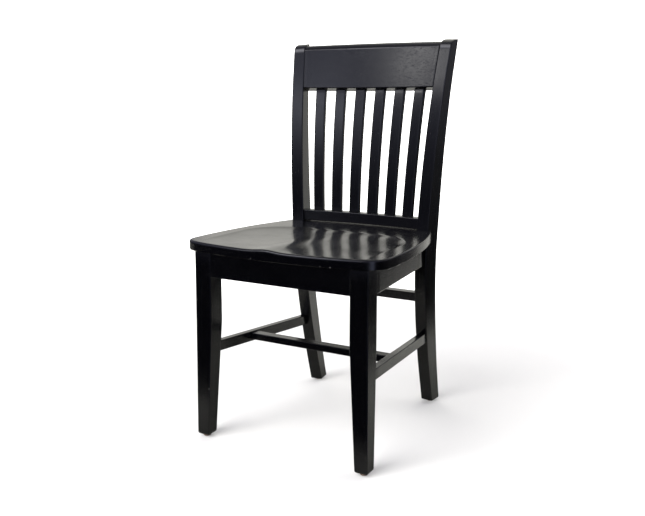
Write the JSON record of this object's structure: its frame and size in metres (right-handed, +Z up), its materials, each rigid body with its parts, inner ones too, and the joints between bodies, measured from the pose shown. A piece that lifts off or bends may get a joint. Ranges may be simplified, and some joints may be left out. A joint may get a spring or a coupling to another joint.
{
  "type": "restaurant chair",
  "caption": "Armless black wooden dining chair with a scooped solid seat, tapered front legs, splayed back posts and a bowed back of upright slats.",
  "frame": {"origin": "middle of the chair's footprint on the floor", "axes": "+Z up, -Y towards the front of the seat, +X to the right as seen from the front"},
  "size_m": [0.4822, 0.5104, 0.891],
  "materials": {
    "black_lacquered_wood": "satin black lacquer on solid hardwood",
    "bare_beech": "unfinished beech",
    "brown_nylon": "moulded brown nylon",
    "zinc_plated_steel": "bright zinc plating"
  },
  "bodies": {
    "root": {"seat": "black_lacquered_wood", "front_leg_left": "black_lacquered_wood", "front_leg_right": "black_lacquered_wood", "back_post_left": "black_lacquered_wood", "back_post_right": "black_lacquered_wood", "crest_rail": "black_lacquered_wood", "lower_back_rail": "black_lacquered_wood", "slat_1": "black_lacquered_wood", "slat_2": "black_lacquered_wood", "slat_3": "black_lacquered_wood", "slat_4": "black_lacquered_wood", "slat_5": "black_lacquered_wood", "slat_6": "black_lacquered_wood", "front_apron": "black_lacquered_wood", "rear_apron": "black_lacquered_wood", "side_apron_left": "black_lacquered_wood", "side_apron_right": "black_lacquered_wood", "side_stretcher_left": "black_lacquered_wood", "side_stretcher_right": "black_lacquered_wood", "cross_stretcher": "black_lacquered_wood", "rear_stretcher": "black_lacquered_wood", "corner_block_front_left": "bare_beech", "corner_block_front_right": "bare_beech", "corner_block_rear_left": "bare_beech", "corner_block_rear_right": "bare_beech", "crest_dowel_left_lower": "bare_beech", "crest_dowel_left_upper": "bare_beech", "crest_dowel_right_lower": "bare_beech", "crest_dowel_right_upper": "bare_beech", "glide_front_left": "brown_nylon", "glide_front_right": "brown_nylon", "glide_rear_left": "brown_nylon", "glide_rear_right": "brown_nylon", "glide_nail_front_left": "zinc_plated_steel", "glide_nail_front_right": "zinc_plated_steel", "glide_nail_rear_left": "zinc_plated_steel", "glide_nail_rear_right": "zinc_plated_steel", "block_screw_front_left_1": "zinc_plated_steel", "block_screw_front_left_2": "zinc_plated_steel", "block_screw_front_right_1": "zinc_plated_steel", "block_screw_front_right_2": "zinc_plated_steel", "block_screw_rear_left_1": "zinc_plated_steel", "block_screw_rear_left_2": "zinc_plated_steel", "block_screw_rear_right_1": "zinc_plated_steel", "block_screw_rear_right_2": "zinc_plated_steel", "seat_screw_front_left": "zinc_plated_steel", "seat_screw_front_right": "zinc_plated_steel", "seat_screw_rear_left": "zinc_plated_steel", "seat_screw_rear_right": "zinc_plated_steel"}
  },
  "joints": []
}
